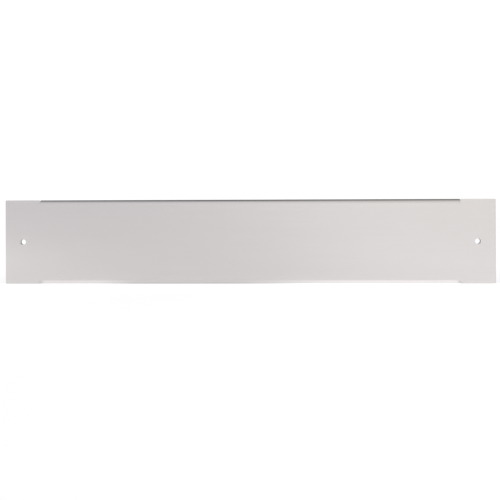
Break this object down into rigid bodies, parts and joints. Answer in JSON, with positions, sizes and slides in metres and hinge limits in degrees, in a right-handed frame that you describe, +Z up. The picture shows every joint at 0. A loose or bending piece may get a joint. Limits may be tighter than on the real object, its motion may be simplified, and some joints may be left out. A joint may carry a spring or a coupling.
{
  "type": "kick plate",
  "caption": "Long low folded stainless kick plate with top and bottom return flanges, flat ears with a screw hole each, and a spacer bush behind each hole.",
  "frame": {"origin": "midway between the two screw holes, on the plane of the spacer bushes' rear faces, where the plate seats", "axes": "+X along the plate to the right as seen from the front, +Y to the rear, the way the screws point, +Z up"},
  "size_m": [0.598, 0.016, 0.1024],
  "materials": {
    "stainless_sheet": "fine satin, grain along the plate",
    "bush_plastic": "moulded, matt grey"
  },
  "bodies": {
    "root": {"panel": "stainless_sheet", "left_spacer_bush": "bush_plastic", "right_spacer_bush": "bush_plastic"}
  },
  "joints": []
}
